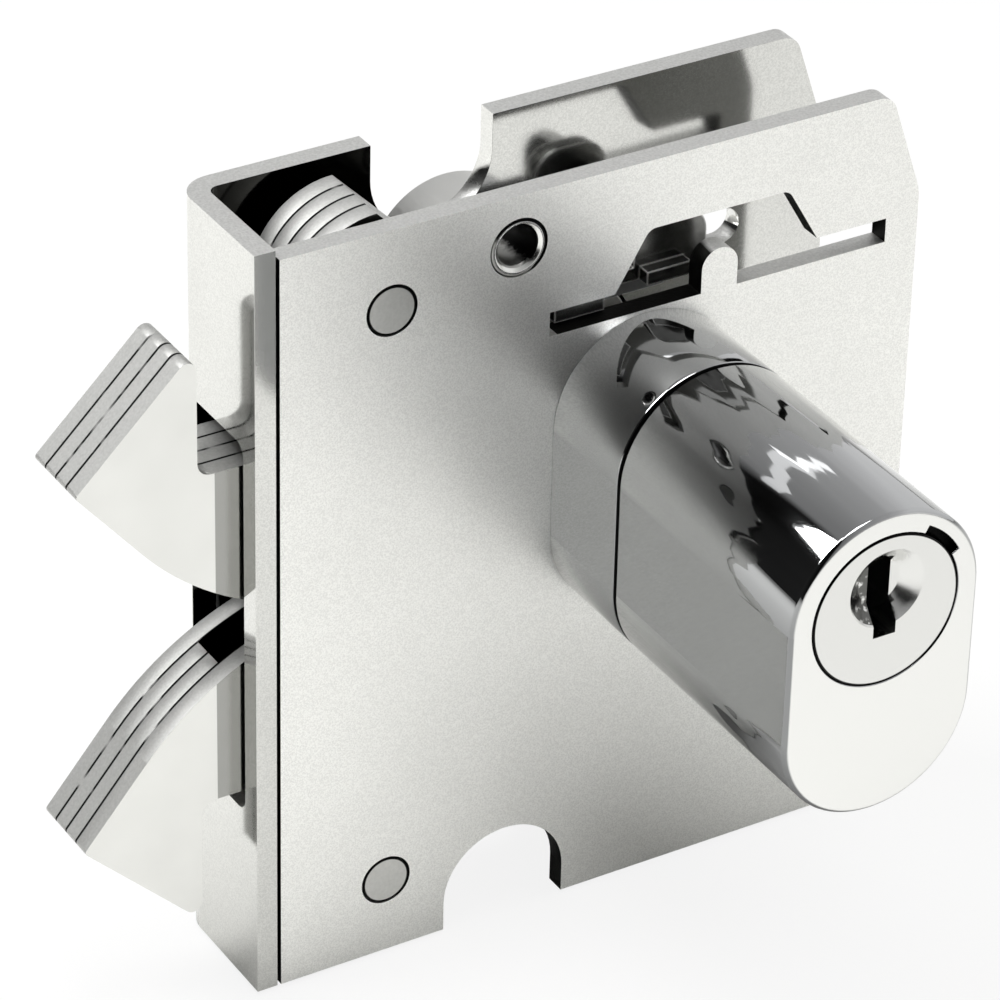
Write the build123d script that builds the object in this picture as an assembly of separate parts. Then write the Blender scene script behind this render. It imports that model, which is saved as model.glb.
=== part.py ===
from build123d import *
from math import atan2, cos, degrees, hypot, radians, sin
import os

# Sliding door lock with two laminated hook claws, an oval key cylinder in front and a
# small round one behind. Millimetres. X runs from the forend into the lock, Y from the
# front plate to the back plate, Z is up. Sizes are drawn from the forend's outer face,
# the front plate's face and its lower edge. The finished parts are moved so that the
# origin is on the fixing bush's axis, at the front plate's inner face.

# Case
sheet = 2.0
case_height = 75.0
case_width = 66.4
back_plate_setback = 1.85
bend_radius = 3.0
front_plate_drop = 1.0
front_plate_gap = 0.35
corner_slant_drop = 10.2
corner_slant_run = 3.5
corner_top_radius = 2.0
corner_side_radius = 5.0
arch_centre_x = 25.25
arch_radius = 6.2
arch_height = 9.15
top_notch_x = 23.65
top_notch_radius = 6.0
top_notch_depth = 9.4

# Claws
pivot_x = 13.0
pivot_inset = 7.7
leaf_thickness = 1.9
leaf_count = 4
claw_front_clearance = 0.5
claw_slide_gap = 0.35
claw_swing = 48.0
claw_arc_gap = 0.2
hub_radius = 8.05
hub_flat = 5.6
throat_x = -4.1
throat_top_drop = 0.1
neck_drop = 12.65
throat_fillet = 1.3
hook_rounding = 0.9
tip_rounding = 0.4
tip_reach = 1.55
tip_angle = 201.6
tail_angle = 252.0
tail_root_angle = 300.0
middle_leaf_end_angle = 240.5
middle_leaf_cut = 10.1
middle_leaf_cut_sweep = 23.0
arm_side_lean = 0.7

# Forend slot
claw_end_clearance = 0.55
claw_front_gap = 0.4
claw_back_gap = 1.7
forend_slot_corner = 1.3

# Pins
pivot_shoulder_radius = 3.0
pivot_tenon_radius = 2.3
running_clearance = 0.04
rivet_ring_gap = 0.15
pin_collar_radius = 5.2
pin_collar_clearance = 0.06
pin_collar_seat_gap = 0.02

# Drive slide
slide_thickness = 1.5
slide_back_clearance = 0.05
drive_pin_drop = 10.0
drive_pin_radius = 2.0
drive_slot_clearance = 0.2
drive_slot_end_play = 0.2
drive_pin_end_gap = 0.2
slide_margin = 3.2
slide_spine_left = 5.1
slide_spine_right = 13.2
slide_corner_radius = 1.5
press_gap = 0.02
stud_radius = 1.6
stud_clearance = 0.15
stud_end_gap = 0.1
stud_rest_x = 44.6
guide_slot_drop = 8.65
guide_slot_end_play = 0.3

# Front plate openings
slot_left = 28.5
slot_end_margin = 3.4
slot_drop = 14.55
slot_height = 2.35
window_height = 5.5
window_left_foot = 35.0
window_left_head = 38.3
window_right_head = 52.5
window_right_foot = 55.7
window_corner_radius = 1.2
tongue_left = 43.8
tongue_width = 3.7
tongue_height = 4.1

# Screw bush
bush_drop = 5.0
bush_radius = 2.65
bush_bore_radius = 1.85
bush_length = 5.0
bush_lead = 0.45

# Guide bracket
bracket_sheet = 1.3
bracket_web_front = 4.5
bracket_web_left = 39.7
bracket_right = 47.1
bracket_height = 5.8
bracket_corner_radius = 2.6
bracket_seat_gap = 0.15
bracket_foot_gap = 0.3
outer_lug = (29.9, 34.9, 1.5)
inner_lug = (40.3, 44.8, 3.2)

# Key cylinder
cylinder_x = 38.45
plug_rise = 12.9
cylinder_wall = 2.15
oval_drop = 10.7
cylinder_length = 37.3
sleeve_length = 10.6
sleeve_wall = 1.7
seam_gap = 0.3
face_chamfer = 0.35
sleeve_chamfer = 0.2
spigot_clearance = 0.05
plug_radius = 7.15
plug_clearance = 0.04
plug_front_length = 30.0
plug_chamfer = 0.15
plug_step_gap = 0.1
journal_radius = 5.0
tail_side = 5.0
plate_hole_clearance = 0.3
spigot_end_gap = 2.0
keyway_width = 2.2
keyway_below = 2.5
keyway_above = 4.5
keyway_end_wall = 3.0
dish_radius = 3.65
dish_rise = 2.1
dish_depth = 1.3
dish_slope = 1.6
pocket_width = 0.8
pocket_depth = 0.7
pocket_angles = (29.0, 61.0)

# Rear cylinder
rear_radius = 8.0
rear_axis_drop = 1.7
rear_length = 21.0
rear_chamfer = 0.4
rear_spigot_radius = 5.8
rear_plug_radius = 4.6
rear_plug_step = 0.4
rear_keyway_height = 6.4
tail_socket_depth = 6.5
tail_socket_clearance = 0.1
socket_end_wall = 1.0

# Crank
crank_turn = 90.0
crank_hub_radius = 4.9
crank_end_radius = 3.3
crank_thickness = 3.2
crank_slide_gap = 1.85
crank_pin_radius = 2.0
crank_slot_clearance = 0.25
crank_pin_end_gap = 0.05
crank_fit_clearance = 0.05
journal_end_gap = 1.0
crank_slot_end_play = 0.3
clip_radius = 4.2
clip_thickness = 0.8
clip_gap = 0.03
tail_turning_gap = 0.2

# Worked out from the sizes above
front_inner = sheet
claw_front = front_inner + claw_front_clearance
claw_back = claw_front + leaf_count * leaf_thickness
slide_front = claw_back + claw_slide_gap
slide_back = slide_front + slide_thickness
back_inner = slide_back + slide_back_clearance
back_face = back_inner + sheet
front_plate_height = case_height - front_plate_drop
middle = front_plate_height / 2
upper_pivot = front_plate_height - pivot_inset
lower_pivot = pivot_inset
claw_arc_radius = upper_pivot - middle - claw_arc_gap
tip_radius = claw_arc_radius + tip_reach
middle_leaf_step_radius = claw_arc_radius - middle_leaf_cut
top_notch_floor = case_height - top_notch_depth
bush_x = arch_centre_x
bush_z = front_plate_height - bush_drop
slot_right = case_width - slot_end_margin
slot_bottom = front_plate_height - slot_drop
slot_top = slot_bottom + slot_height
window_top = slot_top + window_height
tongue_top = slot_bottom + tongue_height
bracket_floor = slot_bottom + bracket_seat_gap
bracket_top = bracket_floor + bracket_height
bracket_web_back = bracket_web_front + bracket_sheet
guide_slot_z = upper_pivot - guide_slot_drop
plug_z = middle + plug_rise
oval_radius = plug_radius + cylinder_wall
pocket_radius = plug_radius + pocket_width
half_swing = radians(claw_swing / 2)
slide_travel = 2 * drive_pin_drop * sin(half_swing) / cos(half_swing)
drive_pin_x = pivot_x - slide_travel / 2
crank_throw = slide_travel / 2 / sin(radians(crank_turn / 2))
crank_rest_angle = radians(-90.0 - crank_turn / 2)
crank_pin_x = cylinder_x + crank_throw * cos(crank_rest_angle)
crank_pin_z = plug_z + crank_throw * sin(crank_rest_angle)
crank_back = slide_front - crank_slide_gap
crank_front = crank_back - crank_thickness
tail_reach = tail_side / 2 ** 0.5
rear_z = plug_z - rear_axis_drop
rear_face = back_face + rear_length
oval_middle = plug_z - oval_drop / 2


def slab(outline, front, back):
    """Plate with an outline drawn in X and Z, from y = front to y = back."""
    return Pos(0, front, 0) * extrude(Plane.XZ * outline, amount=front - back)


def disc(x, z, radius, front, back):
    """Round bar along Y."""
    return slab(Pos(x, z) * Circle(radius), front, back)


def polygon(*points):
    return make_face(Polyline(*points, close=True))


def on_circle(radius, angle):
    return (radius * cos(radians(angle)), radius * sin(radians(angle)))


def corner(outline, x, z):
    """The outline's corner nearest to a point."""
    return outline.vertices().sort_by_distance((x, z, 0))[0]


def mirrored(part):
    """The same part on the other side of the lock's mid height."""
    return mirror(part, about=Plane.XY.offset(middle))


def sheet_outline(width, height):
    """Side plate seen from the front, with the slanted top corner."""
    slant_start = front_plate_height - corner_slant_drop
    top_x = width - corner_slant_run / corner_slant_drop * (height - slant_start)
    outline = polygon((0, 0), (width, 0), (width, slant_start), (top_x, height), (0, height))
    outline = fillet(corner(outline, top_x, height), corner_top_radius)
    return fillet(corner(outline, width, slant_start), corner_side_radius)


def arch():
    """Screw notch in the lower edge of both plates."""
    centre = arch_height - arch_radius
    leg = Pos(arch_centre_x, centre / 2 - 1) * Rectangle(2 * arch_radius, centre + 2)
    return leg + Pos(arch_centre_x, centre) * Circle(arch_radius)


def pivot_holes():
    holes = Pos(pivot_x, upper_pivot) * Circle(pivot_tenon_radius + rivet_ring_gap)
    return holes + Pos(pivot_x, lower_pivot) * Circle(pivot_tenon_radius + rivet_ring_gap)


def guide_slots():
    """Upper and lower slots in the back plate for the slide's studs."""
    radius = stud_radius + stud_clearance
    centres = slide_travel + 2 * guide_slot_end_play
    x = stud_rest_x + slide_travel / 2
    slot = SlotCenterToCenter(centres, 2 * radius)
    return Pos(x, guide_slot_z) * slot + Pos(x, 2 * middle - guide_slot_z) * slot


def top_notch():
    """Round-bottomed notch in the back plate's top edge, behind the screw bush."""
    centre = top_notch_floor + top_notch_radius
    leg = case_height + 1 - centre
    notch = Pos(top_notch_x, centre + leg / 2) * Rectangle(2 * top_notch_radius, leg)
    return notch + Pos(top_notch_x, centre) * Circle(top_notch_radius)


def tail_hole():
    """Hole in the back plate that takes the rear cylinder's spigot."""
    return Pos(cylinder_x, plug_z) * Circle(rear_spigot_radius + plate_hole_clearance)


def case_shell():
    """Back plate and forend, bent from one sheet."""
    profile = polygon(
        (0, 0), (sheet, 0), (sheet, back_inner),
        (case_width, back_inner), (case_width, back_face), (0, back_face),
    )
    profile = fillet(corner(profile, 0, back_face), bend_radius)
    profile = fillet(corner(profile, sheet, back_inner), bend_radius - sheet)
    shell = extrude(profile, amount=case_height)
    waste = Pos(case_width / 2, case_height / 2) * Rectangle(2 * case_width, 2 * case_height)
    waste -= sheet_outline(case_width - back_plate_setback, case_height)
    openings = arch() + pivot_holes() + guide_slots() + top_notch() + tail_hole()
    shell -= slab(waste, -1, back_face + 1)
    shell -= slab(openings, back_inner - 0.5, back_face + 1)
    return shell - forend_slot()


def forend_slot():
    """One long slot with round corners in the forend for both claws."""
    top = upper_pivot - (throat_reach() ** 2 - pivot_x ** 2) ** 0.5 + claw_end_clearance
    height = 2 * (top - middle)
    front = claw_front - claw_front_gap
    back = claw_back + claw_back_gap
    outline = Plane.YZ * RectangleRounded(back - front, height, forend_slot_corner)
    return Pos(-1, (front + back) / 2, middle) * extrude(outline, amount=sheet + 2)


def throat_reach():
    """Distance from the pivot to the hook's inner corner."""
    return hypot(pivot_x - throat_x, throat_top_drop)


def window():
    """Long slot with the raised window over it and the round-nosed tongue standing in it."""
    slot = polygon(
        (slot_left, slot_bottom), (slot_right, slot_bottom), (slot_right, slot_top), (slot_left, slot_top)
    )
    raised = polygon(
        (window_left_foot, slot_top), (window_right_foot, slot_top),
        (window_right_head, window_top), (window_left_head, window_top),
    )
    for x in (window_left_head, window_right_head):
        raised = fillet(corner(raised, x, window_top), window_corner_radius)
    tongue_mid = tongue_left + tongue_width / 2
    nose = tongue_width / 2
    tongue = Pos(tongue_mid, (slot_bottom + tongue_top - nose) / 2) * Rectangle(
        tongue_width, tongue_top - nose - slot_bottom
    )
    tongue += Pos(tongue_mid, tongue_top - nose) * Circle(nose)
    return slot + raised - tongue


def front_plate():
    """Flat plate set between the forend and the open end."""
    left_edge = sheet + front_plate_gap
    outline = sheet_outline(case_width, front_plate_height)
    outline -= Pos(left_edge / 2 - 1, middle) * Rectangle(left_edge + 2, front_plate_height + 2)
    outline -= arch() + pivot_holes() + window()
    outline -= Pos(bush_x, bush_z) * Circle(bush_radius + rivet_ring_gap)
    outline -= Pos(cylinder_x, plug_z) * Circle(journal_radius + plate_hole_clearance)
    return slab(outline, 0, front_inner)


def pivot_pin(z):
    """Pin with a collar each side of the claw, its ends riveted flush in the two plates."""
    front_seat = front_inner + pin_collar_seat_gap
    back_seat = back_inner - pin_collar_seat_gap
    pin = disc(pivot_x, z, pivot_tenon_radius, 0, back_face)
    pin += disc(pivot_x, z, pivot_shoulder_radius, front_seat, back_seat)
    pin += disc(pivot_x, z, pin_collar_radius, front_seat, claw_front - pin_collar_clearance)
    return pin + disc(pivot_x, z, pin_collar_radius, claw_back + pin_collar_clearance, back_seat)


def arm_outline():
    """Arm and hook of the upper claw, drawn about its pivot."""
    throat = throat_x - pivot_x
    corner = (throat, -throat_top_drop)
    tip = on_circle(tip_radius, tip_angle)
    turn = degrees(atan2((tip_radius ** 2 - claw_arc_radius ** 2) ** 0.5, claw_arc_radius))
    arc_start = tip_angle + turn
    tail = on_circle(claw_arc_radius, tail_angle)
    back = Polyline(
        tail, on_circle(hub_radius, tail_root_angle), (0, 0), (-hub_radius, 0),
        (-hub_radius - arm_side_lean, -neck_drop), (throat, -neck_drop), corner, tip,
        on_circle(claw_arc_radius, arc_start),
    )
    sweep = CenterArc((0, 0), claw_arc_radius, arc_start, tail_angle - arc_start)
    return make_face(back.edges() + [sweep.edge()])


def drive_slot():
    """Slot in the arm that the slide's pin works in."""
    near = drive_pin_drop
    far = drive_pin_drop / cos(half_swing)
    width = 2 * (drive_pin_radius + drive_slot_clearance)
    slot = Pos((near + far) / 2, 0) * SlotCenterToCenter(far - near + 2 * drive_slot_end_play, width)
    return Rot(0, 0, 270.0 - claw_swing / 2) * slot


def middle_leaf_step():
    """What the two middle leaves lack at the tail of the arm."""
    reach = tip_radius + middle_leaf_cut
    far_angle = tail_angle + middle_leaf_cut_sweep
    return polygon(
        on_circle(middle_leaf_step_radius, middle_leaf_end_angle), on_circle(reach, middle_leaf_end_angle),
        on_circle(reach, far_angle), on_circle(middle_leaf_step_radius, far_angle),
    )


def leaf_outline(is_middle):
    """One leaf of the upper claw, drawn about its pivot."""
    throat = throat_x - pivot_x
    arm = arm_outline()
    arm = fillet(corner(arm, throat, -neck_drop), throat_fillet)
    arm = fillet(corner(arm, throat, -throat_top_drop), hook_rounding)
    arm = fillet(corner(arm, *on_circle(tip_radius, tip_angle)), tip_rounding)
    hub = Circle(hub_radius)
    leaf = arm + hub
    flat = Rot(0, 0, 45) * Pos(hub_flat + hub_radius, 0) * Rectangle(2 * hub_radius, 3 * hub_radius)
    leaf -= flat
    leaf -= Circle(pivot_shoulder_radius + running_clearance)
    leaf -= drive_slot()
    if is_middle:
        leaf -= middle_leaf_step()
    return leaf


def claw_leaf(number):
    """Leaf of the upper claw, counted from the front plate."""
    is_middle = 1 < number < leaf_count
    front = claw_front + (number - 1) * leaf_thickness
    return slab(Pos(pivot_x, upper_pivot) * leaf_outline(is_middle), front, front + leaf_thickness)


def slide_outline():
    """E-shaped plate: a spine behind the claws and three arms."""
    top = upper_pivot - drive_pin_drop + slide_margin
    arm_low = guide_slot_z - slide_margin
    right = stud_rest_x + slide_margin
    spine = polygon(
        (slide_spine_left, 2 * middle - top), (slide_spine_right, 2 * middle - top),
        (slide_spine_right, top), (slide_spine_left, top),
    )
    rail = polygon((slide_spine_left, arm_low), (right, arm_low), (right, top), (slide_spine_left, top))
    web_high = plug_z - tail_reach - tail_turning_gap
    web_low = 2 * middle - web_high
    web_right = crank_pin_x + crank_pin_radius + slide_margin
    web = polygon(
        (slide_spine_left, web_low), (web_right, web_low + (web_high - web_low) / 2),
        (web_right, web_high), (slide_spine_left, web_high),
    )
    lower_rail = mirror(rail, about=Plane.XZ.offset(-middle))
    return spine + rail + web + lower_rail


def slide_plate():
    """Flat plate behind the claws, which carries the turn of the key to them."""
    outline = slide_outline()
    ends = outline.vertices().group_by(Axis.X)[-1] + outline.vertices().group_by(Axis.X)[0]
    outline = fillet(ends, slide_corner_radius)
    for z in (upper_pivot - drive_pin_drop, lower_pivot + drive_pin_drop):
        outline -= Pos(drive_pin_x, z) * Circle(drive_pin_radius + press_gap)
    for z in (guide_slot_z, 2 * middle - guide_slot_z):
        outline -= Pos(stud_rest_x, z) * Circle(stud_radius + press_gap)
    outline -= crank_fork()
    return slab(outline, slide_front, slide_back)


def crank_fork():
    """Slot for the crank's pin, open at the top where the plug's tail passes."""
    floor = plug_z - crank_throw - crank_slot_end_play
    radius = crank_pin_radius + crank_slot_clearance
    leg = Pos(crank_pin_x, (floor + plug_z) / 2) * Rectangle(2 * radius, plug_z - floor)
    return leg + Pos(crank_pin_x, floor) * Circle(radius)


def slide_drive_pins():
    """Two pins riveted into the slide that work in the claws' slots."""
    heights = (upper_pivot - drive_pin_drop, lower_pivot + drive_pin_drop)
    front = claw_front + drive_pin_end_gap
    return Compound([disc(drive_pin_x, z, drive_pin_radius, front, slide_back) for z in heights])


def slide_guide_studs():
    """Two studs riveted into the slide that run in the back plate's slots."""
    heights = (guide_slot_z, 2 * middle - guide_slot_z)
    back = back_face - stud_end_gap
    return Compound([disc(stud_rest_x, z, stud_radius, slide_front, back) for z in heights])


def guide_bracket():
    """Bent bracket behind the window, with two lugs forward over the slot's lower edge."""
    web = polygon(
        (bracket_web_left, bracket_floor), (bracket_right, bracket_floor),
        (bracket_right, bracket_top), (bracket_web_left, bracket_top),
    )
    for x in (bracket_web_left, bracket_right):
        web = fillet(corner(web, x, bracket_top), bracket_corner_radius)
    bracket = slab(web, bracket_web_front, bracket_web_back)
    bracket += bracket_lug(outer_lug[0], bracket_right, bracket_web_front)
    for left, right, front in (outer_lug, inner_lug):
        bracket += bracket_lug(left, right, front)
    return bracket + bracket_wing()


def bracket_lug(left, right, front):
    """Flat tab at the foot of the bracket, from its front edge to the web's back."""
    top = bracket_floor + bracket_sheet
    lug = polygon((left, bracket_floor), (right, bracket_floor), (right, top), (left, top))
    return slab(lug, front, bracket_web_back)


def bracket_wing():
    """Side of the bracket that reaches to the back plate."""
    slide_top = upper_pivot - drive_pin_drop + slide_margin
    low = max(slide_top, guide_slot_z + stud_radius) + bracket_foot_gap
    high = bracket_top - bracket_corner_radius
    left = bracket_right - bracket_sheet
    wing = polygon((left, low), (bracket_right, low), (bracket_right, high), (left, high))
    return slab(wing, bracket_web_back, back_inner)


def screw_bush():
    """Hollow bush for the upper fixing screw, flush with the front plate."""
    bush = disc(bush_x, bush_z, bush_radius, 0, bush_length)
    bush -= disc(bush_x, bush_z, bush_bore_radius, -1, bush_length + 1)
    rim = bush.edges().filter_by(GeomType.CIRCLE).filter_by(
        lambda edge: abs(edge.center().Y) < 0.01 and abs(edge.radius - bush_bore_radius) < 0.01
    )
    return chamfer(rim, bush_lead)


def oval(radius):
    """Upright oval of the cylinder, its upper end round the plug."""
    slot = SlotCenterToCenter(oval_drop, 2 * radius)
    return Pos(cylinder_x, oval_middle) * (Rot(0, 0, 90) * slot)


def rear_sleeve():
    """Oval collar between the front plate and the cylinder."""
    ring = oval(oval_radius) - oval(oval_radius - sleeve_wall)
    sleeve = slab(ring, -sleeve_length, 0)
    front = sleeve.faces().sort_by(Axis.Y)[0]
    return chamfer(max(front.wires(), key=lambda wire: wire.length).edges(), sleeve_chamfer)


def cylinder_body():
    """Oval housing with the plug's bore and a spigot inside the sleeve."""
    shoulder = -sleeve_length - seam_gap
    spigot_back = -spigot_end_gap
    body = slab(oval(oval_radius), -cylinder_length, shoulder)
    front = body.faces().sort_by(Axis.Y)[0]
    body = chamfer(front.edges(), face_chamfer)
    body += slab(oval(oval_radius - sleeve_wall - spigot_clearance), shoulder - 1, spigot_back)
    step = -cylinder_length + plug_front_length + plug_step_gap
    body -= disc(cylinder_x, plug_z, plug_radius + plug_clearance, -cylinder_length - 1, step)
    body -= disc(cylinder_x, plug_z, journal_radius + plug_clearance, step - 1, 1)
    body -= key_pocket()
    return body


def key_pocket():
    """Small crescent pocket beside the plug in the cylinder's face."""
    start, end = pocket_angles
    middle_angle = radians((start + end) / 2)
    reach = 3 * pocket_radius
    half = radians((end - start) / 2)
    wedge = polygon(
        (0, 0),
        (reach * cos(middle_angle - half), reach * sin(middle_angle - half)),
        (reach * cos(middle_angle + half), reach * sin(middle_angle + half)),
    )
    crescent = wedge & Circle(pocket_radius)
    return slab(Pos(cylinder_x, plug_z) * crescent, -cylinder_length - 1, -cylinder_length + pocket_depth)


def plug():
    """Turning plug with its dished face, keyway, rear journal and long square tail."""
    front = -cylinder_length
    step = front + plug_front_length
    tail_front = crank_front - journal_end_gap
    body = disc(cylinder_x, plug_z, plug_radius, front, step)
    body = chamfer(body.faces().sort_by(Axis.Y)[0].edges(), plug_chamfer)
    body += disc(cylinder_x, plug_z, journal_radius, step, tail_front)
    tail = Pos(cylinder_x, plug_z) * Rectangle(tail_side, tail_side)
    body += slab(tail, tail_front, back_face + tail_socket_depth)
    body -= dish()
    keyway_z = plug_z + (keyway_above - keyway_below) / 2
    keyway = Pos(cylinder_x, keyway_z) * Rectangle(keyway_width, keyway_above + keyway_below)
    return body - slab(keyway, front - 1, step - keyway_end_wall)


def dish():
    """Conical recess that leads the key into the keyway."""
    cone = Cone(dish_radius - dish_slope, dish_radius, dish_depth)
    cone = Rot(90, 0, 0) * cone
    return Pos(cylinder_x, -cylinder_length + dish_depth / 2, plug_z + dish_rise) * cone


def crank():
    """Arm on the plug's tail with the pin that moves the slide."""
    angle = degrees(crank_rest_angle)
    hub = Circle(crank_hub_radius)
    end = Pos(crank_throw, 0) * Circle(crank_end_radius)
    arm = make_hull(hub.edges() + end.edges())
    square = tail_side + 2 * crank_fit_clearance
    arm -= Rectangle(square, square).rotate(Axis.Z, -angle)
    body = slab(Pos(cylinder_x, plug_z) * (Rot(0, 0, angle) * arm), crank_front, crank_back)
    pin_back = slide_back - crank_pin_end_gap
    return body + disc(crank_pin_x, crank_pin_z, crank_pin_radius, crank_front, pin_back)


def crank_clip():
    """Push-on clip behind the crank that keeps it on the tail."""
    ring = Circle(clip_radius) - Rectangle(tail_side + 2 * clip_gap, tail_side + 2 * clip_gap)
    front = crank_back + clip_gap
    return slab(Pos(cylinder_x, plug_z) * ring, front, front + clip_thickness)


def rear_cylinder():
    """Round housing on the back plate, its plug above its own axis."""
    body = disc(cylinder_x, rear_z, rear_radius, back_face, rear_face)
    body = chamfer(body.faces().sort_by(Axis.Y)[-1].edges(), rear_chamfer)
    body += disc(cylinder_x, plug_z, rear_spigot_radius, back_inner + slide_back_clearance, back_face + 1)
    step = back_face + rear_plug_step
    body -= disc(cylinder_x, plug_z, rear_plug_radius + plug_clearance, step, rear_face + 1)
    return body - disc(cylinder_x, plug_z, tail_reach + tail_turning_gap, back_inner - 1, step + 1)


def rear_plug():
    """Second plug, turned by the same tail, with its own keyway."""
    front = back_face + rear_plug_step + clip_gap
    body = disc(cylinder_x, plug_z, rear_plug_radius, front, rear_face)
    socket_side = tail_side + tail_socket_clearance
    socket_back = back_face + tail_socket_depth + tail_socket_clearance
    body -= slab(Pos(cylinder_x, plug_z) * Rectangle(socket_side, socket_side), front - 1, socket_back)
    keyway = Rectangle(keyway_width, rear_keyway_height)
    keyway_front = socket_back + socket_end_wall
    return body - slab(Pos(cylinder_x, plug_z) * keyway, keyway_front, rear_face + 1)


def build():
    """Every node of the lock by name."""
    nodes = {
        "case_shell": case_shell(),
        "front_plate": front_plate(),
        "screw_bush": screw_bush(),
        "guide_bracket": guide_bracket(),
        "upper_pivot_pin": pivot_pin(upper_pivot),
        "lower_pivot_pin": pivot_pin(lower_pivot),
        "slide_plate": slide_plate(),
        "slide_drive_pins": slide_drive_pins(),
        "slide_guide_studs": slide_guide_studs(),
        "rear_sleeve": rear_sleeve(),
        "cylinder_body": cylinder_body(),
        "plug": plug(),
        "crank": crank(),
        "crank_clip": crank_clip(),
        "rear_cylinder": rear_cylinder(),
        "rear_plug": rear_plug(),
    }
    for number in range(1, leaf_count + 1):
        leaf = claw_leaf(number)
        nodes[f"upper_claw_leaf_{number}"] = leaf
        nodes[f"lower_claw_leaf_{number}"] = mirrored(leaf)
    return nodes


os.makedirs("parts", exist_ok=True)
origin = Pos(-bush_x, -front_inner, -bush_z)
for name, shape in build().items():
    export_step(origin * shape, f"parts/{name}.step")
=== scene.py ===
import math

import bmesh
import bpy
from mathutils import Matrix, Vector


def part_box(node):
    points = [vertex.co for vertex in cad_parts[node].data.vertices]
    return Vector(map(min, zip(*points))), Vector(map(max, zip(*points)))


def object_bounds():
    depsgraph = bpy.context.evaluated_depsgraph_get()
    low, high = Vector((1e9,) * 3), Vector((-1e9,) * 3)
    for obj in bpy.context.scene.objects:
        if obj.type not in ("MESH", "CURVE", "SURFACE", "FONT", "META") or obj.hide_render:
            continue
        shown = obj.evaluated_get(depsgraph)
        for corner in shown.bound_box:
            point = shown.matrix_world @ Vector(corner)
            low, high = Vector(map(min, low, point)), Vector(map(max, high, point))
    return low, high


# Sizes below are millimetres from the forend's outer face, the front plate's face and
# its lower edge, as a drawing of the lock would give them. MM turns them to metres, and
# ORIGIN is the place of the frame's origin in that drawing.
MM = 0.001
ORIGIN = Vector((25.25, 2.0, 69.0))


def place(x, y, z):
    """A drawing point in the frame, in metres."""
    return (Vector((x, y, z)) - ORIGIN) * MM


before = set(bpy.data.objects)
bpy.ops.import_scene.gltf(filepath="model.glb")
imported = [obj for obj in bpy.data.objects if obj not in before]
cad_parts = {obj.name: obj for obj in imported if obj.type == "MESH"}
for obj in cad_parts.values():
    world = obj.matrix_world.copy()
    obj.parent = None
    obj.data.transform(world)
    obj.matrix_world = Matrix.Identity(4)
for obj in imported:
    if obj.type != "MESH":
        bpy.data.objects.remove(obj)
cad_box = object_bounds()

# Round pieces' axes, which run along Y
PLUG_AXIS = place(38.45, 0, 49.9)
BUSH_AXIS = place(25.25, 0, 69)
UPPER_PIVOT = place(13, 0, 66.3)
LOWER_PIVOT = place(13, 0, 7.7)

CYLINDER_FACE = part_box("cylinder_body")[0].y
# Middle of the narrow gap between the rear sleeve and the cylinder's body
SLEEVE_JOINT = place(0, -10.75, 0).y
FIRST_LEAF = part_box("upper_claw_leaf_1")
LEAF_PITCH = FIRST_LEAF[1].y - FIRST_LEAF[0].y

# How much of the normal lies along Y on the faces of a flat sheet, and on its cut edges
Y_FACE_AT = 0.85
Y_CUT_AT = 0.5


# Materials

def srgb(text):
    """Linear colour of an sRGB hex value."""
    parts = [int(text[i:i + 2], 16) / 255 for i in (0, 2, 4)]
    return [c / 12.92 if c <= 0.04045 else ((c + 0.055) / 1.055) ** 2.4 for c in parts] + [1.0]


def add_node(tree, kind, values=None, links=None, **settings):
    """A node with its settings, socket values and incoming links."""
    node = tree.nodes.new(kind)
    for name, value in settings.items():
        setattr(node, name, value)
    for socket, value in (values or {}).items():
        node.inputs[socket].default_value = value
    for socket, source in (links or {}).items():
        tree.links.new(source, node.inputs[socket])
    return node


def new_metal(name, colour=None):
    """A metal's material, its node tree and its shader.

    A colour is the lowest layer of the finish, which others are laid over.
    """
    material = bpy.data.materials.new(name)
    material.use_nodes = True
    shader = material.node_tree.nodes["Principled BSDF"]
    shader.inputs["Metallic"].default_value = 1.0
    if colour is not None:
        shader.inputs["Base Color"].default_value = srgb(colour)
    return material, material.node_tree, shader


def lay(tree, share, colour):
    """Lay a colour over the layers so far, by the share from 0 to 1 that a node gives.

    The colour is a hex value, or another node's output.
    """
    base = tree.nodes["Principled BSDF"].inputs["Base Color"]
    layer = add_node(tree, "ShaderNodeMix", None, {0: share}, data_type="RGBA")
    under, over = layer.inputs[6], layer.inputs[7]
    if base.is_linked:
        tree.links.new(base.links[0].from_socket, under)
    else:
        under.default_value = base.default_value
    if isinstance(colour, str):
        over.default_value = srgb(colour)
    else:
        tree.links.new(colour, over)
    tree.links.new(layer.outputs[2], base)


def facing(tree, coords, axis, start, full):
    """How much the surface faces along X, Y or Z: 0 up to start, and 1 from full on.

    start and full are values of that part of the surface's normal.
    """
    normal = add_node(tree, "ShaderNodeSeparateXYZ", None, {"Vector": coords.outputs["Normal"]})
    share = add_node(
        tree, "ShaderNodeMapRange", {"From Min": start, "From Max": full},
        {"Value": normal.outputs[axis]},
    )
    return share.outputs["Result"]


def cut_edges(tree, coords, axis, face_at, cut_at):
    """1 on a sheet's cut edges and 0 on its faces.

    The part of the normal along the axis, in either direction, tells them apart. It is
    face_at where a face ends, and cut_at where a cut edge begins.
    """
    normal = add_node(tree, "ShaderNodeSeparateXYZ", None, {"Vector": coords.outputs["Normal"]})
    along = add_node(tree, "ShaderNodeMath", None, {0: normal.outputs[axis]}, operation="ABSOLUTE")
    share = add_node(
        tree, "ShaderNodeMapRange", {"From Min": face_at, "From Max": cut_at},
        {"Value": along.outputs[0]},
    )
    return share.outputs["Result"]


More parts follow.
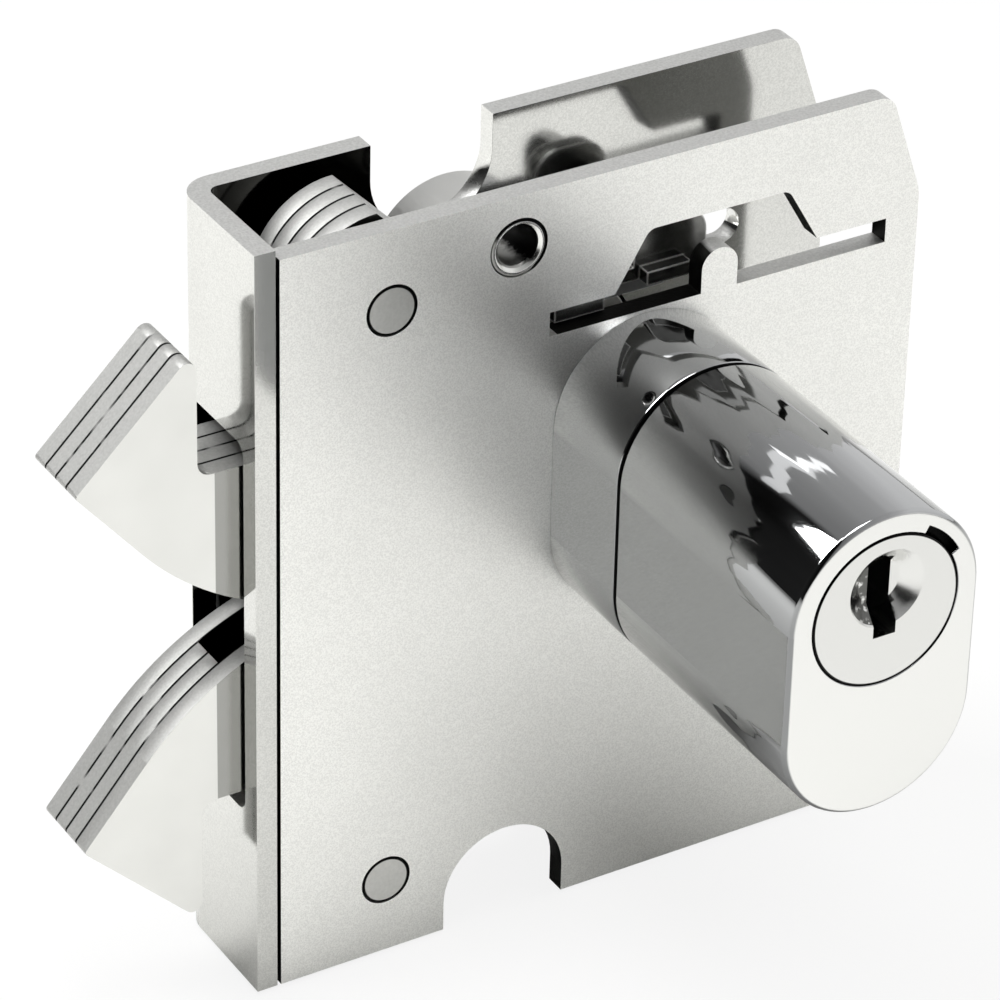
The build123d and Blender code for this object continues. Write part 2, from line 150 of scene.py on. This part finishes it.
def overlap(tree, *masks):
    """Product of the masks, which is 1 where all of them are."""
    shared = masks[0]
    for mask in masks[1:]:
        product = add_node(
            tree, "ShaderNodeMath", None, {0: shared, 1: mask}, operation="MULTIPLY"
        )
        shared = product.outputs[0]
    return shared


def distance_from(tree, coords, axis):
    """Distance of a point of the surface from an axis along Y."""
    centred = add_node(
        tree, "ShaderNodeMapping", {"Location": (-axis.x, 0, -axis.z), "Scale": (1, 0, 1)},
        {"Vector": coords.outputs["Object"]},
    )
    distance = add_node(
        tree, "ShaderNodeVectorMath", None, {0: centred.outputs["Vector"]}, operation="LENGTH"
    )
    return distance.outputs["Value"]


def set_stops(ramp, stops):
    """Set a ramp's colours, given from the stop at 0 to the stop at 1."""
    ramp.elements[0].color = srgb(stops[0][1])
    ramp.elements[1].color = srgb(stops[-1][1])
    for position, colour in stops[1:-1]:
        ramp.elements.new(position).color = srgb(colour)


def plated_sheet(name, light, dark, gloss, haze, axis, face_at, cut_at):
    """Plated sheet steel: glossy faces with a hazy grain, and dull gritty cut edges.

    The last three arguments are those of cut_edges.
    """
    patch_size = 12 * MM
    speckle_size = 0.14 * MM
    grain_size = 0.08 * MM
    grain_depth = 0.004 * MM
    # Grit of a cut edge is finer on the real one, and this coarse so that it shows
    grit_size = 0.22 * MM
    grit_depth = 0.05 * MM
    edge_roughness = 0.5

    material, tree, shader = new_metal(name, dark)
    base = shader.inputs["Base Color"]
    coords = add_node(tree, "ShaderNodeTexCoord")
    cut = cut_edges(tree, coords, axis, face_at, cut_at)

    # Faces: soft clouds, and the speckle of the plating
    patches = add_node(
        tree, "ShaderNodeTexNoise", {"Scale": 1 / patch_size, "Detail": 4.0, "Roughness": 0.55},
        {"Vector": coords.outputs["Object"]},
    )
    lay(tree, patches.outputs["Fac"], light)
    speckle = add_node(
        tree, "ShaderNodeTexNoise", {"Scale": 1 / speckle_size, "Detail": 1.0},
        {"Vector": coords.outputs["Object"]},
    )
    dots = add_node(
        tree, "ShaderNodeMapRange",
        {"From Min": 0.35, "From Max": 0.65, "To Min": 0.9, "To Max": 1.08},
        {"Value": speckle.outputs["Fac"]},
    )
    face = add_node(
        tree, "ShaderNodeVectorMath", None,
        {0: base.links[0].from_socket, 1: dots.outputs["Result"]}, operation="MULTIPLY",
    )
    tree.links.new(face.outputs["Vector"], base)

    # Cut edges: bright and dark grit
    grit = add_node(
        tree, "ShaderNodeTexNoise", {"Scale": 1 / grit_size, "Detail": 2.0},
        {"Vector": coords.outputs["Object"]},
    )
    edge = add_node(
        tree, "ShaderNodeMix", {6: srgb("B6B6B4"), 7: srgb("E4E4E2")}, {0: grit.outputs["Fac"]},
        data_type="RGBA",
    )
    lay(tree, cut, edge.outputs[2])

    # Glossy and hazy spots side by side: a sharp reflection under a veil, as on matt plating
    grain = add_node(
        tree, "ShaderNodeTexNoise", {"Scale": 1 / grain_size, "Detail": 2.0, "Roughness": 0.6},
        {"Vector": coords.outputs["Object"]},
    )
    face_gloss = add_node(
        tree, "ShaderNodeMapRange",
        {"From Min": 0.42, "From Max": 0.58, "To Min": gloss, "To Max": haze},
        {"Value": grain.outputs["Fac"]},
    )
    rough = add_node(
        tree, "ShaderNodeMix", {3: edge_roughness}, {0: cut, 2: face_gloss.outputs["Result"]}
    )
    tree.links.new(rough.outputs[0], shader.inputs["Roughness"])

    grain_relief = add_node(
        tree, "ShaderNodeBump", {"Strength": 0.2, "Distance": grain_depth},
        {"Height": grain.outputs["Fac"]},
    )
    relief = add_node(
        tree, "ShaderNodeBump", {"Strength": 0.5, "Distance": grit_depth},
        {
            "Height": overlap(tree, grit.outputs["Fac"], cut),
            "Normal": grain_relief.outputs["Normal"],
        },
    )
    tree.links.new(relief.outputs["Normal"], shader.inputs["Normal"])
    return material


def satin_sheet():
    """Front plate: near-white matt plating, with painted shade: grey on the inner face, and near
    black on some cuts.
    """
    # Middle of the slot's lower cut beside the bracket, and the reach of its painted shade
    slot_cut = place(37.3, 1, 59.5)
    half_length = 8 * MM
    half_height = 3 * MM

    material = plated_sheet(
        "satin plated sheet", light="F8F8F5", dark="EFEFEC", gloss=0.32, haze=0.44,
        axis="Y", face_at=Y_FACE_AT, cut_at=Y_CUT_AT,
    )
    tree = material.node_tree
    coords = add_node(tree, "ShaderNodeTexCoord")
    # Painted shade: the inner face, which faces the back plate, is laid darker grey for the shade
    # between the plates
    lay(tree, facing(tree, coords, "Y", start=0.4, full=0.8), "6C6C6A")

    # Painted shade, near black, on the cuts that face the forend and on that cut of the slot
    to_forend = facing(tree, coords, "X", start=-0.25, full=-0.5)
    upward = facing(tree, coords, "Z", start=0.75, full=0.95)
    from_slot_cut = add_node(
        tree, "ShaderNodeVectorMath", {1: slot_cut}, {0: coords.outputs["Object"]},
        operation="SUBTRACT",
    )
    offsets = add_node(
        tree, "ShaderNodeSeparateXYZ", None, {"Vector": from_slot_cut.outputs["Vector"]}
    )
    along = add_node(
        tree, "ShaderNodeMath", {1: 0.0, 2: half_length}, {0: offsets.outputs["X"]},
        operation="COMPARE",
    )
    beside = add_node(
        tree, "ShaderNodeMath", {1: 0.0, 2: half_height}, {0: offsets.outputs["Z"]},
        operation="COMPARE",
    )
    in_slot = overlap(tree, along.outputs[0], beside.outputs[0], upward)
    painted_shade_on_cuts = add_node(
        tree, "ShaderNodeMath", None, {0: in_slot, 1: to_forend}, operation="MAXIMUM"
    )
    lay(tree, painted_shade_on_cuts.outputs[0], "161615")
    return material


def bright_sheet():
    """Case: mirror-bright plating, with painted shade darkening the inner faces in the corner
    behind the upper hub.

    The back plate also seems to lean out, in the shading only. The photographed plate
    leans by 2.65 degrees. The slope used here is about twice that, and was picked so that
    the mirror images lie where the photograph has them.
    """
    corner_end = place(20, 0, 0).x
    inside_from = place(0, 2.2, 0).y
    lean_slope = 0.095

    material = plated_sheet(
        "bright plated sheet", light="DEDEDB", dark="D2D2CF", gloss=0.05, haze=0.12,
        axis="Z", face_at=0.4, cut_at=0.75,
    )
    tree = material.node_tree
    coords = add_node(tree, "ShaderNodeTexCoord")
    spot = add_node(tree, "ShaderNodeSeparateXYZ", None, {"Vector": coords.outputs["Object"]})
    # Painted shade: the inner faces of the back plate and the forend are laid dark in the corner
    # behind the upper hub
    back = facing(tree, coords, "Y", start=-0.5, full=-0.8)
    forend = facing(tree, coords, "X", start=0.5, full=0.8)
    inward = add_node(tree, "ShaderNodeMath", None, {0: back, 1: forend}, operation="ADD")
    corner = add_node(
        tree, "ShaderNodeMath", {1: corner_end}, {0: spot.outputs["X"]}, operation="LESS_THAN"
    )
    inside = add_node(
        tree, "ShaderNodeMath", {1: inside_from}, {0: spot.outputs["Y"]},
        operation="GREATER_THAN",
    )
    painted_corner_shade = overlap(tree, corner.outputs[0], inside.outputs[0], inward.outputs[0])
    lay(tree, painted_corner_shade, "3A3A38")

    shading = tree.nodes["Principled BSDF"].inputs["Normal"]
    lean = add_node(
        tree, "ShaderNodeVectorMath", {0: (lean_slope, 0, 0)}, {"Scale": back}, operation="SCALE"
    )
    leaning = add_node(
        tree, "ShaderNodeVectorMath", None,
        {0: shading.links[0].from_socket, 1: lean.outputs["Vector"]}, operation="ADD",
    )
    unit = add_node(
        tree, "ShaderNodeVectorMath", None, {0: leaning.outputs["Vector"]}, operation="NORMALIZE"
    )
    tree.links.new(unit.outputs["Vector"], shading)
    return material


def punched_leaf():
    """Claw leaf: bright plated faces with painted shade where the forend's slot covers them, smooth
    light sheared edges, dark joints between leaves.
    """
    patch_size = 7 * MM
    grit_size = 0.25 * MM
    grit_depth = 0.03 * MM
    slot_shade_from = place(-2.5, 0, 0).x
    seam_edge = 0.16 * MM
    seam_core = 0.1 * MM
    contact_size = 3 * MM
    face_roughness = 0.2
    edge_roughness = 0.62

    material, tree, shader = new_metal("plated punched steel leaf", "DADAD7")
    coords = add_node(tree, "ShaderNodeTexCoord")
    spot = add_node(tree, "ShaderNodeSeparateXYZ", None, {"Vector": coords.outputs["Object"]})
    cut = cut_edges(tree, coords, "Y", Y_FACE_AT, Y_CUT_AT)

    # Faces, with painted shade: darker from 2.5 mm in front of the forend inward, where the
    # forend's slot shades them
    patches = add_node(
        tree, "ShaderNodeTexNoise", {"Scale": 1 / patch_size, "Detail": 4.0},
        {"Vector": coords.outputs["Object"]},
    )
    lay(tree, patches.outputs["Fac"], "ECECE9")
    painted_slot_shade = add_node(
        tree, "ShaderNodeMath", {1: slot_shade_from}, {0: spot.outputs["X"]},
        operation="GREATER_THAN",
    )
    lay(tree, painted_slot_shade.outputs[0], "A2A29F")

    # Sheared edges
    grit = add_node(
        tree, "ShaderNodeTexNoise", {"Scale": 1 / grit_size, "Detail": 3.0},
        {"Vector": coords.outputs["Object"]},
    )
    edge = add_node(
        tree, "ShaderNodeMix", {6: srgb("ACACAA"), 7: srgb("CACAC8")}, {0: grit.outputs["Fac"]},
        data_type="RGBA",
    )
    lay(tree, cut, edge.outputs[2])

    # Dark joints between the four leaves, and none at the outer faces
    depth = add_node(
        tree, "ShaderNodeMath", {1: FIRST_LEAF[0].y}, {0: spot.outputs["Y"]}, operation="SUBTRACT"
    )
    gap = add_node(
        tree, "ShaderNodeMath", {1: LEAF_PITCH / 2}, {0: depth.outputs[0]}, operation="PINGPONG"
    )
    joint = add_node(
        tree, "ShaderNodeMapRange", {"From Min": seam_edge, "From Max": seam_core},
        {"Value": gap.outputs[0]},
    )
    between = add_node(
        tree, "ShaderNodeMath", {1: 2 * LEAF_PITCH, 2: 1.5 * LEAF_PITCH}, {0: depth.outputs[0]},
        operation="COMPARE",
    )
    # The leaves touch here and there, and the dark line fades
    contact = add_node(
        tree, "ShaderNodeTexNoise", {"Scale": 1 / contact_size, "Detail": 2.0},
        {"Vector": coords.outputs["Object"]},
    )
    openness = add_node(
        tree, "ShaderNodeMapRange", {"From Min": 0.28, "From Max": 0.42},
        {"Value": contact.outputs["Fac"]},
    )
    near_black_mask = overlap(
        tree, joint.outputs["Result"], between.outputs[0], openness.outputs["Result"]
    )
    lay(tree, near_black_mask, "1C1C1B")

    rough = add_node(tree, "ShaderNodeMix", {2: face_roughness, 3: edge_roughness}, {0: cut})
    tree.links.new(rough.outputs[0], shader.inputs["Roughness"])
    relief = add_node(
        tree, "ShaderNodeBump", {"Strength": 0.4, "Distance": grit_depth},
        {"Height": overlap(tree, grit.outputs["Fac"], cut)},
    )
    tree.links.new(relief.outputs["Normal"], shader.inputs["Normal"])
    return material


def polished_chrome():
    """Chrome plate: mirror sides darkened with painted shade, a lighter ground face, dirt in the
    joint, and painted shade in the pocket.

    The base colour is painted light and shade by facing: lightest on the round top, darker on the
    flat sides, and darkest on the underside.
    """
    pocket_radius = 8.05 * MM
    pocket_from = CYLINDER_FACE + 0.1 * MM
    joint_half_width = 0.3 * MM
    # Wiping marks, short across the cylinder and longer along it
    wipe_width = 3.333 * MM
    wipe_length = 8.333 * MM
    ground_roughness = 0.22
    near_black_roughness = 0.6

    material, tree, shader = new_metal("polished chrome plate")
    coords = add_node(tree, "ShaderNodeTexCoord")
    spot = add_node(tree, "ShaderNodeSeparateXYZ", None, {"Vector": coords.outputs["Object"]})
    # Painted light and shade: the base colour runs from dark on the underside to light on the round
    # top
    upward = facing(tree, coords, "Z", start=-0.6, full=0.7)
    painted_light_and_shade = add_node(tree, "ShaderNodeValToRGB", None, {"Fac": upward})
    set_stops(painted_light_and_shade.color_ramp, ((0, "565758"), (0.46, "8E8F90"), (1, "BEBFC0")))
    tree.links.new(painted_light_and_shade.outputs["Color"], shader.inputs["Base Color"])
    face = facing(tree, coords, "Y", start=-0.8, full=-0.98)
    lay(tree, face, "EEEEEC")

    # Black joint between the sleeve and the body, and painted shade, black, in the crescent pocket
    # beside the plug
    joint = add_node(
        tree, "ShaderNodeMath", {1: SLEEVE_JOINT, 2: joint_half_width}, {0: spot.outputs["Y"]},
        operation="COMPARE",
    )
    near = add_node(
        tree, "ShaderNodeMath", {1: pocket_radius}, {0: distance_from(tree, coords, PLUG_AXIS)},
        operation="LESS_THAN",
    )
    sunk = add_node(
        tree, "ShaderNodeMath", {1: pocket_from}, {0: spot.outputs["Y"]},
        operation="GREATER_THAN",
    )
    pocket = overlap(tree, near.outputs[0], sunk.outputs[0])
    # The joint's black is dirt, and the pocket's black is painted shade
    near_black_mask = add_node(
        tree, "ShaderNodeMath", None, {0: joint.outputs[0], 1: pocket}, operation="MAXIMUM"
    )
    lay(tree, near_black_mask.outputs[0], "0E0E0E")

    stretch = add_node(
        tree, "ShaderNodeMapping", {"Scale": (1 / wipe_width, 1 / wipe_length, 1 / wipe_width)},
        {"Vector": coords.outputs["Object"]},
    )
    wipe = add_node(
        tree, "ShaderNodeTexNoise", {"Scale": 1.0, "Detail": 5.0},
        {"Vector": stretch.outputs["Vector"]},
    )
    side = add_node(
        tree, "ShaderNodeMapRange", {"To Min": 0.02, "To Max": 0.09}, {"Value": wipe.outputs["Fac"]}
    )
    ground = add_node(
        tree, "ShaderNodeMix", {3: ground_roughness}, {0: face, 2: side.outputs["Result"]}
    )
    rough = add_node(
        tree, "ShaderNodeMix", {3: near_black_roughness}, {0: near_black_mask.outputs[0], 2: ground.outputs[0]}
    )
    tree.links.new(rough.outputs[0], shader.inputs["Roughness"])
    return material


def turned_nickel():
    """Nickel plate over turned brass: fine rings round the plug's axis, a black rim, and painted
    shade in spots on the dish's left half.
    """
    mark_pitch = 0.12 * MM
    mark_depth = 0.004 * MM
    rim_start = 6.9 * MM
    rim_full = 6.96 * MM
    # The dish's painted shade starts a millimetre right of the axis, and goes about 4 mm deep
    dish_shade_edge = PLUG_AXIS.x + 1.0 * MM
    dish_middle = CYLINDER_FACE + 2.12 * MM
    dish_reach = 2 * MM
    spot_size = 0.5 * MM

    material, tree, shader = new_metal("turned nickel plate", "E2E2E0")
    coords = add_node(tree, "ShaderNodeTexCoord")
    spot = add_node(tree, "ShaderNodeSeparateXYZ", None, {"Vector": coords.outputs["Object"]})
    radius = distance_from(tree, coords, PLUG_AXIS)

    # Painted shade in spots on the dish's left half
    left = add_node(
        tree, "ShaderNodeMapRange", {"From Min": dish_shade_edge, "From Max": PLUG_AXIS.x},
        {"Value": spot.outputs["X"]},
    )
    sunk = add_node(
        tree, "ShaderNodeMath", {1: dish_middle, 2: dish_reach}, {0: spot.outputs["Y"]},
        operation="COMPARE",
    )
    painted_mark = add_node(
        tree, "ShaderNodeTexNoise", {"Scale": 1 / spot_size, "Detail": 3.0},
        {"Vector": coords.outputs["Object"]},
    )
    spots = add_node(
        tree, "ShaderNodeMapRange", {"From Min": 0.65, "From Max": 0.55},
        {"Value": painted_mark.outputs["Fac"]},
    )
    painted_dish_shade = overlap(tree, left.outputs["Result"], sunk.outputs[0], spots.outputs["Result"])
    lay(tree, painted_dish_shade, "666664")
    rim = add_node(
        tree, "ShaderNodeMapRange", {"From Min": rim_start, "From Max": rim_full},
        {"Value": radius},
    )
    lay(tree, rim.outputs["Result"], "121212")

    # Turning marks
    turns = add_node(
        tree, "ShaderNodeMath", {1: 2 * math.pi / mark_pitch}, {0: radius}, operation="MULTIPLY"
    )
    rings = add_node(tree, "ShaderNodeMath", None, {0: turns.outputs[0]}, operation="SINE")
    gloss = add_node(
        tree, "ShaderNodeMapRange", {"From Min": -1.0, "To Min": 0.14, "To Max": 0.24},
        {"Value": rings.outputs[0]},
    )
    tree.links.new(gloss.outputs["Result"], shader.inputs["Roughness"])
    relief = add_node(
        tree, "ShaderNodeBump", {"Strength": 0.1, "Distance": mark_depth},
        {"Height": rings.outputs[0]},
    )
    tree.links.new(relief.outputs["Normal"], shader.inputs["Normal"])
    return material


def turned_bush():
    """Turned steel bush: bright lip between two dark rings, painted light on the bore below and
    painted shade, black, above.
    """
    lip_radius = 2.25 * MM
    lip_half_width = 0.22 * MM
    thread_size = 0.5 * MM
    thread_reach = 1.2 * MM
    shade_from = 0.3 * MM
    light_from = -0.4 * MM
    bore_roughness = 0.45
    lip_roughness = 0.2

    # The black base is painted shade in the bore
    material, tree, shader = new_metal("turned steel bush", "0C0C0C")
    coords = add_node(tree, "ShaderNodeTexCoord")

    # Painted light on the lower left of the bore, with an edge that the threads make ragged
    side = add_node(
        tree, "ShaderNodeVectorMath", {1: (0.7, 0, 0.7)}, {0: coords.outputs["Object"]},
        operation="DOT_PRODUCT",
    )
    threads = add_node(
        tree, "ShaderNodeTexNoise", {"Scale": 1 / thread_size, "Detail": 4.0},
        {"Vector": coords.outputs["Object"]},
    )
    ragged = add_node(
        tree, "ShaderNodeMath", {1: thread_reach},
        {0: threads.outputs["Fac"], 2: side.outputs["Value"]}, operation="MULTIPLY_ADD",
    )
    lower = add_node(
        tree, "ShaderNodeMapRange", {"From Min": shade_from, "From Max": light_from},
        {"Value": ragged.outputs[0]},
    )
    lay(tree, lower.outputs["Result"], "B4B4B1")
    lip = add_node(
        tree, "ShaderNodeMath", {1: lip_radius, 2: lip_half_width},
        {0: distance_from(tree, coords, BUSH_AXIS)}, operation="COMPARE",
    )
    lay(tree, lip.outputs[0], "E6E6E3")
    rough = add_node(
        tree, "ShaderNodeMix", {2: bore_roughness, 3: lip_roughness}, {0: lip.outputs[0]}
    )
    tree.links.new(rough.outputs[0], shader.inputs["Roughness"])
    return material


def riveted_pin():
    """Pin riveted flush in its plate: hammered grey end and a black line round it."""
    rim_start = 2.1 * MM
    rim_full = 2.15 * MM
    dent_size = 0.3 * MM
    dent_depth = 0.01 * MM

    material, tree, shader = new_metal("riveted steel pin", "C0C0BD")
    shader.inputs["Roughness"].default_value = 0.3
    coords = add_node(tree, "ShaderNodeTexCoord")
    dents = add_node(
        tree, "ShaderNodeTexNoise", {"Scale": 1 / dent_size, "Detail": 3.0},
        {"Vector": coords.outputs["Object"]},
    )
    lay(tree, dents.outputs["Fac"], "D4D4D1")
    radius = add_node(
        tree, "ShaderNodeMath", None,
        {0: distance_from(tree, coords, UPPER_PIVOT), 1: distance_from(tree, coords, LOWER_PIVOT)},
        operation="MINIMUM",
    )
    rim = add_node(
        tree, "ShaderNodeMapRange", {"From Min": rim_start, "From Max": rim_full},
        {"Value": radius.outputs[0]},
    )
    lay(tree, rim.outputs["Result"], "101010")
    relief = add_node(
        tree, "ShaderNodeBump", {"Strength": 0.3, "Distance": dent_depth},
        {"Height": dents.outputs["Fac"]},
    )
    tree.links.new(relief.outputs["Normal"], shader.inputs["Normal"])
    return material


def plain_plate(name, light, dark):
    """Plating of a small part: cloudy patches and a fine grain in its gloss."""
    patch_size = 4 * MM
    grain_size = 0.2 * MM
    grain_depth = 0.01 * MM
    gloss = 0.34

    material, tree, shader = new_metal(name, dark)
    coords = add_node(tree, "ShaderNodeTexCoord")
    patches = add_node(
        tree, "ShaderNodeTexNoise", {"Scale": 1 / patch_size, "Detail": 4.0},
        {"Vector": coords.outputs["Object"]},
    )
    lay(tree, patches.outputs["Fac"], light)
    grain = add_node(
        tree, "ShaderNodeTexNoise", {"Scale": 1 / grain_size, "Detail": 2.0},
        {"Vector": coords.outputs["Object"]},
    )
    rough = add_node(
        tree, "ShaderNodeMapRange", {"To Min": gloss * 0.7, "To Max": gloss * 1.3},
        {"Value": grain.outputs["Fac"]},
    )
    tree.links.new(rough.outputs["Result"], shader.inputs["Roughness"])
    relief = add_node(
        tree, "ShaderNodeBump", {"Strength": 0.3, "Distance": grain_depth},
        {"Height": grain.outputs["Fac"]},
    )
    tree.links.new(relief.outputs["Normal"], shader.inputs["Normal"])
    return material


def bracket_with_painted_shade_and_highlights():
    """Plated bracket, laid dark as painted shade, whose edges carry a painted highlight."""
    highlight_width = 0.3 * MM
    patch_size = 1.2 * MM
    plate_roughness = 0.24
    highlight_roughness = 0.5

    # Painted shade: the bracket's plating is laid dark, as it sits in shade between the plates
    material, tree, shader = new_metal("plated bracket with painted shade and highlights", "4E4E4C")
    coords = add_node(tree, "ShaderNodeTexCoord")
    patches = add_node(
        tree, "ShaderNodeTexNoise", {"Scale": 1 / patch_size, "Detail": 4.0},
        {"Vector": coords.outputs["Object"]},
    )
    lay(tree, patches.outputs["Fac"], "8E8E8C")

    # Where a rounded normal turns away from the face's own, there is an edge, which gets a painted
    # highlight
    rounded = add_node(tree, "ShaderNodeBevel", {"Radius": highlight_width}, samples=6)
    flat = add_node(tree, "ShaderNodeNewGeometry")
    turn = add_node(
        tree, "ShaderNodeVectorMath", None,
        {0: rounded.outputs["Normal"], 1: flat.outputs["Normal"]}, operation="DOT_PRODUCT",
    )
    painted_mark = add_node(
        tree, "ShaderNodeMapRange", {"From Min": 0.99, "From Max": 0.9},
        {"Value": turn.outputs["Value"]},
    )
    lay(tree, painted_mark.outputs["Result"], "F0F0EE")
    rough = add_node(
        tree, "ShaderNodeMix", {2: plate_roughness, 3: highlight_roughness}, {0: painted_mark.outputs["Result"]}
    )
    tree.links.new(rough.outputs[0], shader.inputs["Roughness"])
    return material


leaf = punched_leaf()
pin = riveted_pin()
chrome = polished_chrome()
nickel = turned_nickel()
zinc = plain_plate("zinc plated steel", light="B9BABC", dark="9EA0A3")

# Each piece's finish, and the width in millimetres of its rounded edges. Punched sheet and
# plated metal have such an edge, which catches the light. None leaves the edges sharp.
pieces = {
    "case_shell": (bright_sheet(), 0.16),
    "front_plate": (satin_sheet(), 0.2),
    "screw_bush": (turned_bush(), 0.08),
    "guide_bracket": (bracket_with_painted_shade_and_highlights(), 0.2),
    "upper_pivot_pin": (pin, None),
    "lower_pivot_pin": (pin, None),
    "slide_plate": (zinc, 0.1),
    "slide_drive_pins": (zinc, None),
    "slide_guide_studs": (zinc, None),
    "rear_sleeve": (chrome, 0.08),
    "cylinder_body": (chrome, 0.12),
    "rear_cylinder": (plain_plate("satin nickel plate", light="ECECE9", dark="E2E2DF"), 0.12),
    "plug": (nickel, 0.08),
    "rear_plug": (nickel, 0.08),
    "crank": (zinc, 0.2),
    "crank_clip": (zinc, 0.1),
}
for claw in ("upper", "lower"):
    for number in (1, 2, 3, 4):
        pieces[f"{claw}_claw_leaf_{number}"] = (leaf, 0.1)

# The CAD's triangles are welded first, so that the bevel finds the edges
WELD_DISTANCE = 0.001 * MM
SHARP_EDGE = math.radians(35)

for name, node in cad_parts.items():
    finish, edge_mm = pieces[name]
    node.data.materials.clear()
    node.data.materials.append(finish)
    if edge_mm is None:
        continue
    weld = node.modifiers.new("weld", "WELD")
    weld.merge_threshold = WELD_DISTANCE
    bevel = node.modifiers.new("edge", "BEVEL")
    bevel.width = edge_mm * MM
    bevel.segments = 2
    bevel.limit_method = "ANGLE"
    bevel.angle_limit = SHARP_EDGE
    bevel.harden_normals = True


# Camera at the photograph's angle

AZIMUTH = math.radians(-31.39)
ELEVATION = math.radians(32.11)
ROLL = math.radians(1.39)
LENS_MM = 187.6
SENSOR_MM = 36.0
# It stands back from a point near the middle of the front plate, and a little to the left
# and up, because the photograph frames the lock that way
AIM = place(30, 0, 37)
DISTANCE_MM = 456.71
TO_LEFT_MM = 5.04
UPWARD_MM = 4.71

back = Vector((
    math.sin(AZIMUTH) * math.cos(ELEVATION),
    -math.cos(AZIMUTH) * math.cos(ELEVATION),
    math.sin(ELEVATION),
))
right = Vector((math.cos(AZIMUTH), math.sin(AZIMUTH), 0))
up = back.cross(right)
right_rolled = right * math.cos(ROLL) + up * math.sin(ROLL)
up_rolled = up * math.cos(ROLL) - right * math.sin(ROLL)
camera_data = bpy.data.cameras.new("camera")
camera_data.lens = LENS_MM
camera_data.sensor_width = SENSOR_MM
camera_data.clip_start = 0.01
camera = bpy.data.objects.new("camera", camera_data)
bpy.context.scene.collection.objects.link(camera)
station = AIM + (back * DISTANCE_MM - right_rolled * TO_LEFT_MM + up_rolled * UPWARD_MM) * MM
turn = Matrix((right_rolled, up_rolled, back)).transposed().to_4x4()
camera.matrix_world = Matrix.Translation(station) @ turn
bpy.context.scene.camera = camera


# Floor, world and lamps

BOARD_HALF_SIDE = 3.0
BOARD_GAP = 0.02 * MM
# Share of plain white in what the camera sees of the board. The rest is the lit board.
BOARD_GLOW = 0.86

# Grey of the walls that the metal mirrors, from the forend's side to the open end's
WALLS = (
    (0, "303030"), (0.27, "0A0A0A"), (0.325, "101010"), (0.38, "8E8E8E"), (0.5, "A2A2A2"),
    (0.74, "C2C2C2"), (0.86, "EEEEEE"), (1, "F4F4F4"),
)


def white_board():
    """Matt white board that the camera sees nearly white and that keeps its shadow."""
    material = bpy.data.materials.new("matt white board")
    material.use_nodes = True
    tree = material.node_tree
    tree.nodes.remove(tree.nodes["Principled BSDF"])
    matt = add_node(tree, "ShaderNodeBsdfDiffuse", {"Color": srgb("ECECEA")})
    glow = add_node(tree, "ShaderNodeEmission", {"Color": srgb("FFFFFF"), "Strength": 1.0})
    rays = add_node(tree, "ShaderNodeLightPath")
    share = add_node(
        tree, "ShaderNodeMath", {1: BOARD_GLOW}, {0: rays.outputs["Is Camera Ray"]},
        operation="MULTIPLY",
    )
    mix = add_node(
        tree, "ShaderNodeMixShader", None,
        {0: share.outputs[0], 1: matt.outputs[0], 2: glow.outputs[0]},
    )
    tree.links.new(mix.outputs[0], tree.nodes["Material Output"].inputs["Surface"])
    return material


def floor_board():
    """Square board under the lock."""
    mesh = bpy.data.meshes.new("floor")
    shape = bmesh.new()
    bmesh.ops.create_grid(shape, x_segments=1, y_segments=1, size=BOARD_HALF_SIDE)
    bmesh.ops.translate(shape, verts=shape.verts, vec=(0, 0, cad_box[0].z - BOARD_GAP))
    shape.to_mesh(mesh)
    shape.free()
    mesh.materials.append(white_board())
    board = bpy.data.objects.new("floor", mesh)
    bpy.context.scene.collection.objects.link(board)


def studio_world():
    """Room that the camera sees white, and that the lock mirrors with its grey walls."""
    world = bpy.data.worlds.new("studio")
    bpy.context.scene.world = world
    world.use_nodes = True
    tree = world.node_tree
    coords = add_node(tree, "ShaderNodeTexCoord")
    axes = add_node(tree, "ShaderNodeSeparateXYZ", None, {"Vector": coords.outputs["Generated"]})
    across = add_node(
        tree, "ShaderNodeMapRange", {"From Min": -1.0, "From Max": 1.0},
        {"Value": axes.outputs["X"]},
    )
    wall = add_node(tree, "ShaderNodeValToRGB", None, {"Fac": across.outputs["Result"]})
    set_stops(wall.color_ramp, WALLS)
    rays = add_node(tree, "ShaderNodeLightPath")
    seen = add_node(
        tree, "ShaderNodeMix", {7: srgb("FFFFFF")},
        {0: rays.outputs["Is Camera Ray"], 6: wall.outputs["Color"]}, data_type="RGBA",
    )
    tree.links.new(seen.outputs[2], tree.nodes["Background"].inputs["Color"])


def soft_lamp(name, centre, aim, width, height, power):
    """Rectangular lamp that points at the lock, in metres and watts."""
    data = bpy.data.lights.new(name, "AREA")
    data.shape = "RECTANGLE"
    data.size = width
    data.size_y = height
    data.energy = power
    lamp = bpy.data.objects.new(name, data)
    bpy.context.scene.collection.objects.link(lamp)
    lamp.location = centre
    direction = Vector(aim) - Vector(centre)
    lamp.rotation_euler = direction.to_track_quat("-Z", "Y").to_euler()


floor_board()
studio_world()
soft_lamp("key", (-0.45, 0.26, 0.74), (0, 0, -0.03), width=0.4, height=0.4, power=7.2)
soft_lamp("overhead", (-0.08, -0.06, 0.9), (0, 0, -0.03), width=0.4, height=0.4, power=3.7)
# Two narrow windows, which show mostly as mirrored patches on the cylinder's round top
soft_lamp(
    "window", (0.0, 0.64, 0.64), (0.013, -0.027, -0.009), width=0.6, height=0.08, power=0.12
)
soft_lamp(
    "side window", (0.26, 0.62, 0.6), (0.013, -0.03, -0.012), width=0.3, height=0.05, power=0.07
)

bpy.context.scene.view_settings.view_transform = "Standard"
